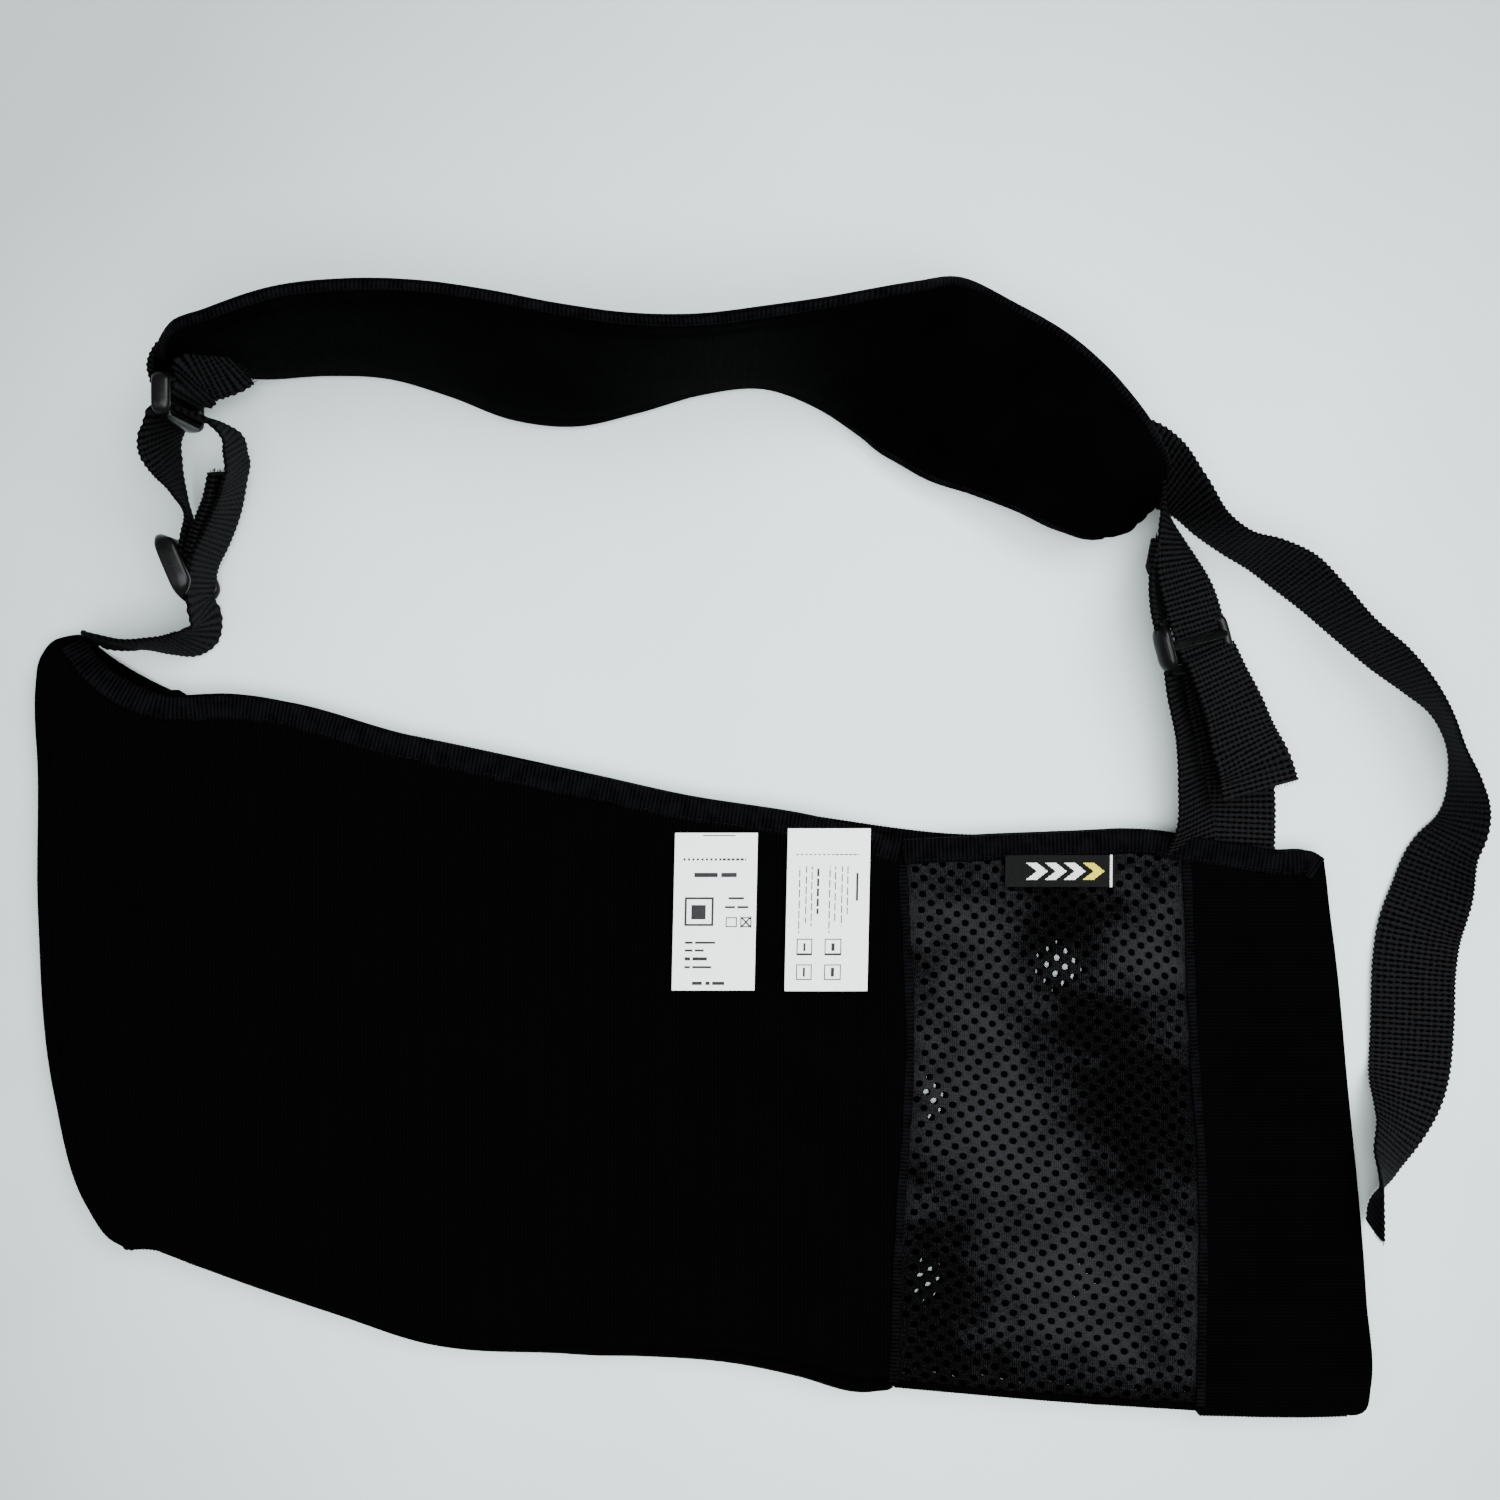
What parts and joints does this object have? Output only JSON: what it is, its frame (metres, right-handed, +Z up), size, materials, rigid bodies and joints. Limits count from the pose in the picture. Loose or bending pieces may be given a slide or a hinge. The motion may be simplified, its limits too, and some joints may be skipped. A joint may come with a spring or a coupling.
{
  "type": "arm sling",
  "caption": "Forearm sling with a flat knit and mesh pouch, an adjustable webbing neck strap and a foam shoulder pad, lying flat.",
  "frame": {"origin": "on the table under the middle of the whole part's outline, at the height of the pouch's back layer", "axes": "+X from the elbow end to the hand end, +Y from the bottom fold to the pouch's mouth and the strap, +Z up, away from the table"},
  "size_m": [0.4622, 0.3617, 0.0661],
  "materials": {
    "knit": "matte",
    "mesh": "satin",
    "foam": "matte",
    "binding": "matte",
    "webbing": "matte",
    "pad_knit": "matte",
    "plastic": "satin",
    "label_black": "satin",
    "label_white": "satin"
  },
  "bodies": {
    "pouch": {"back_main_panel": "knit", "back_mesh_panel": "mesh", "back_wrist_panel": "knit", "elbow_end_seam": "knit", "bottom_fold_main": "knit", "bottom_fold_mesh": "mesh", "bottom_fold_wrist": "knit", "back_binding": "binding", "back_seam_tapes": "binding", "elbow_corner_tab": "knit", "left_anchor_sewn_end": "webbing", "right_anchor_sewn_end": "webbing"},
    "pouch_front": {"front_main_panel": "knit", "front_mesh_panel": "mesh", "front_wrist_panel": "knit", "front_binding_elbow": "binding", "front_binding_middle": "binding", "front_binding_mesh": "binding", "front_binding_wrist": "binding", "front_seam_tapes": "binding", "woven_label": "label_black"},
    "care_label_fibre": {"care_label_fibre": "label_white"},
    "care_label_maker": {"care_label_maker": "label_white"},
    "neck_strap": {"left_strap_lower": "webbing", "left_loop_outer": "webbing", "left_loop_inner": "webbing", "left_loop_folded_end": "webbing", "pad_left_end_loop": "webbing", "pad_foam_core": "foam", "pad_face_cover": "pad_knit", "pad_back_cover": "pad_knit", "pad_binding_raised": "binding", "pad_binding_standing": "binding", "pad_right_end_loop": "webbing", "right_strap_upper": "webbing", "right_strap_under_layer": "webbing", "right_strap_folded_end": "webbing", "right_anchor_flat_leg": "webbing", "right_anchor_edge_leg": "webbing", "free_tail_root": "webbing"},
    "left_glide": {"left_tri_glide": "plastic", "left_glide_wrap": "webbing"},
    "pad_ring": {"left_pad_ring": "plastic", "left_ring_wrap": "webbing"},
    "pad_slider": {"right_pad_slider": "plastic", "right_slider_wrap": "webbing"},
    "right_glide": {"right_tri_glide": "plastic"},
    "tail_flap": {"strap_tail_flap": "webbing"},
    "free_tail": {"free_tail": "webbing"}
  },
  "joints": [
    {"name": "strap_lift", "type": "hinge", "parent": "pouch", "child": "neck_strap", "pos_m": [-0.0285, 0.0355, 0.0038], "axis": [0.9863, -0.1649, 0], "range_deg": [0, 60], "deforming": ["right_anchor_flat_leg", "right_anchor_edge_leg", "left_strap_lower"]},
    {"name": "tail_trail", "type": "hinge", "parent": "neck_strap", "child": "free_tail", "pos_m": [0.138, 0.113, 0.01], "axis": [0.9863, -0.1649, 0], "range_deg": [-45, 0]},
    {"name": "mouth_open", "type": "hinge", "parent": "pouch", "child": "pouch_front", "pos_m": [0, -0.1717, 0.009], "axis": [0.9967, -0.0814, 0], "range_deg": [0, 12]},
    {"name": "care_label_fibre_flip", "type": "hinge", "parent": "pouch_front", "child": "care_label_fibre", "pos_m": [-0.0132, 0.0056, 0.011], "axis": [-1, 0, 0], "range_deg": [0, 150]},
    {"name": "care_label_maker_flip", "type": "hinge", "parent": "pouch_front", "child": "care_label_maker", "pos_m": [0.0234, 0.0066, 0.011], "axis": [-1, 0, 0], "range_deg": [0, 150]},
    {"name": "tail_flap_lift", "type": "hinge", "parent": "neck_strap", "child": "tail_flap", "pos_m": [0.1453, 0.049, 0.0145], "axis": [-0.8984, -0.4392, 0], "range_deg": [0, 25]},
    {"name": "left_glide_slide", "type": "slide", "parent": "neck_strap", "child": "left_glide", "axis": [-0.33, 0.944, 0], "range_m": [-0.0015, 0.0015]},
    {"name": "right_glide_slide", "type": "slide", "parent": "neck_strap", "child": "right_glide", "axis": [0.2501, -0.9682, 0], "range_m": [-0.004, 0]},
    {"name": "pad_ring_turn", "type": "hinge", "parent": "neck_strap", "child": "pad_ring", "pos_m": [-0.176, 0.14325, 0.0295], "axis": [0, 0, 1], "range_deg": [-6, 6]},
    {"name": "pad_slider_tilt", "type": "hinge", "parent": "neck_strap", "child": "pad_slider", "pos_m": [0.10755, 0.12512, 0.0039], "axis": [0.11, -0.9939, 0], "range_deg": [-8, 0]}
  ],
  "couplings": [
    {"joint": "tail_trail", "follows": "strap_lift", "ratio": -0.7}
  ]
}
